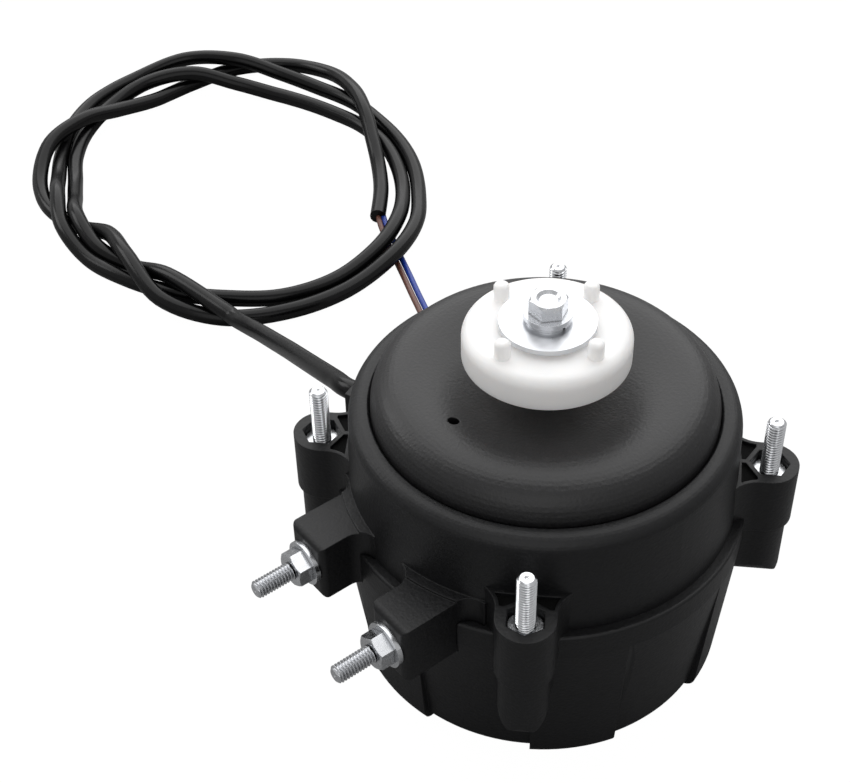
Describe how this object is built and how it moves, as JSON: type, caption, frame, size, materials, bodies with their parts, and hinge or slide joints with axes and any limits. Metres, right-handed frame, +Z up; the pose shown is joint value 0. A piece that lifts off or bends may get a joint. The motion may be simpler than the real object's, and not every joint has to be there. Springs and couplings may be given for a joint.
{
  "type": "fan motor",
  "caption": "Small electronically commutated fan motor in a round black two-part housing, with clamp studs, a white fan hub and a coiled supply cable with bare cores.",
  "frame": {"origin": "on the shaft's axis, in the plane of the flat base that the motor stands on", "axes": "+Z up along the shaft to the hub; the two side studs point to -Y; the cable leaves towards -X, 22 degrees round to -Y"},
  "size_m": [0.3162, 0.1763, 0.0934],
  "materials": {
    "black_casting": "fine moulded grain, slightly satin",
    "black_grain": "matte with a fine sandy grain",
    "rubber": "soft black rubber",
    "white_nylon": "milky white moulded nylon",
    "zinc_plate": "bright zinc plated steel",
    "shaft_steel": "ground steel",
    "dark_steel": "stacked and pressed steel",
    "ferrite": "sintered ferrite",
    "pale_plastic": "natural engineering plastic",
    "bronze": "sintered bronze",
    "copper_wire": "enamelled copper wire",
    "board_green": "lacquered circuit board",
    "can_sleeve": "shrink sleeve",
    "chip_black": "moulded chip",
    "block_green": "moulded terminal block",
    "cable_jacket": "black jacket with a soft gloss",
    "brown_sleeve": "thin brown insulation",
    "blue_sleeve": "thin blue insulation"
  },
  "bodies": {
    "housing": {"rear_shell": "black_casting", "front_shell": "black_casting", "dome_cover": "black_grain", "shell_gasket": "rubber", "rear_bearing": "bronze", "front_bearing": "bronze", "thrust_pad": "pale_plastic", "stator_core": "dark_steel", "coil_bobbins": "pale_plastic", "coil_windings": "copper_wire", "circuit_board": "board_green", "capacitors": "can_sleeve", "choke": "copper_wire", "power_chips": "chip_black", "hall_sensor": "chip_black", "terminal_block": "block_green", "through_bolts": "zinc_plate", "clamp_nuts": "zinc_plate", "side_bolts": "zinc_plate", "flange_nuts": "zinc_plate", "cable_grommet": "rubber", "supply_cable": "cable_jacket", "cable_coil": "cable_jacket", "brown_core": "brown_sleeve", "blue_core": "blue_sleeve"},
    "rotor": {"hub": "white_nylon", "fan_washer": "zinc_plate", "spring_washer": "zinc_plate", "hub_screw": "zinc_plate", "shaft": "shaft_steel", "rotor_core": "dark_steel", "rotor_magnet": "ferrite", "thrust_washers": "pale_plastic", "retaining_clip": "dark_steel"}
  },
  "joints": [
    {"name": "shaft_spin", "type": "hinge", "parent": "housing", "child": "rotor", "pos_m": [0, 0, 0], "axis": [0, 0, 1], "continuous": true}
  ]
}
